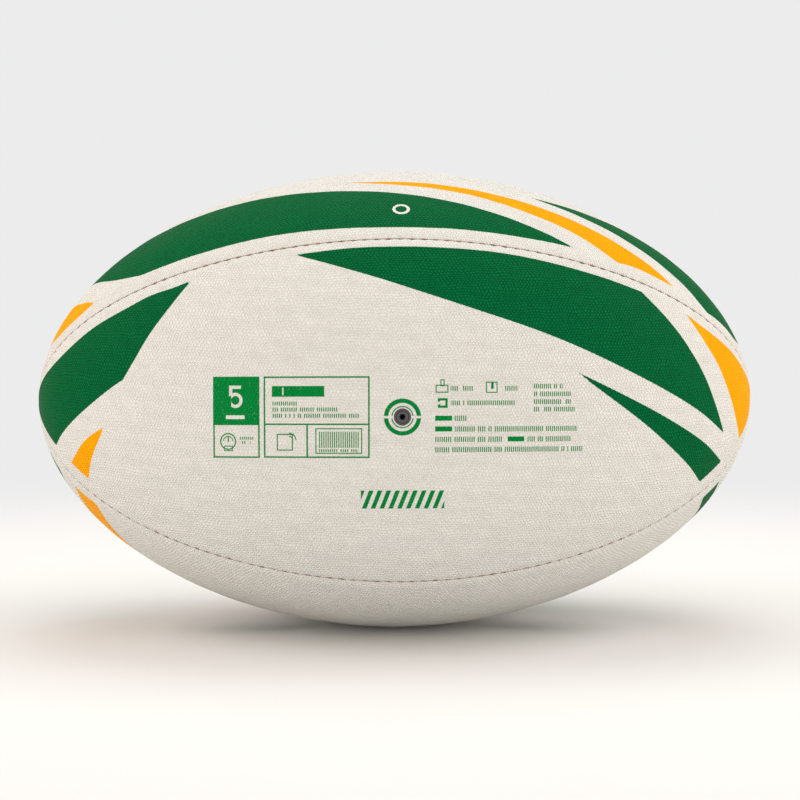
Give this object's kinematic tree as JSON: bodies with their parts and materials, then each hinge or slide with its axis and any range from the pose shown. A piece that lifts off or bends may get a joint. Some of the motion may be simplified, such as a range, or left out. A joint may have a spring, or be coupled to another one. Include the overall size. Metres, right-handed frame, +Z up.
{
  "type": "rugby ball",
  "caption": "Hand-stitched rugby ball: long oval casing of grained rubber panels on cloth plies, laced seams, inner bladder and a pull-out needle valve plug.",
  "frame": {"origin": "centre of the ball", "axes": "+X along the ball from its centre to one pointed end; -Y out of the valve; +Z up, so that the ball lies on its side and the four seams run at 45 degrees to Y and Z"},
  "size_m": [0.2928, 0.1871, 0.1872],
  "materials": {
    "panel_rubber": "matt pebble-grained white rubber with printed green and gold areas",
    "lining_cloth": "unbleached polyester and cotton weave, latex bonded",
    "seam_thread": "waxed polyester thread",
    "bladder_rubber": "smooth black butyl, talc dusted",
    "patch_cloth": "rubberised cotton duck",
    "valve_rubber": "satin moulded rubber",
    "plug_rubber": "soft satin rubber"
  },
  "bodies": {
    "ball": {"front_skin": "panel_rubber", "top_skin": "panel_rubber", "back_skin": "panel_rubber", "bottom_skin": "panel_rubber", "front_outer_ply": "lining_cloth", "front_middle_ply": "lining_cloth", "front_inner_ply": "lining_cloth", "top_outer_ply": "lining_cloth", "top_middle_ply": "lining_cloth", "top_inner_ply": "lining_cloth", "back_outer_ply": "lining_cloth", "back_middle_ply": "lining_cloth", "back_inner_ply": "lining_cloth", "bottom_outer_ply": "lining_cloth", "bottom_middle_ply": "lining_cloth", "bottom_inner_ply": "lining_cloth", "front_top_thread": "seam_thread", "top_back_thread": "seam_thread", "back_bottom_thread": "seam_thread", "bottom_front_thread": "seam_thread", "bladder": "bladder_rubber", "valve_patch": "patch_cloth", "valve_body": "valve_rubber"},
    "plug": {"valve_plug": "plug_rubber"}
  },
  "joints": [
    {"name": "valve_plug_pull", "type": "slide", "parent": "ball", "child": "plug", "axis": [0, -1, 0], "range_m": [0, 0.022]}
  ]
}
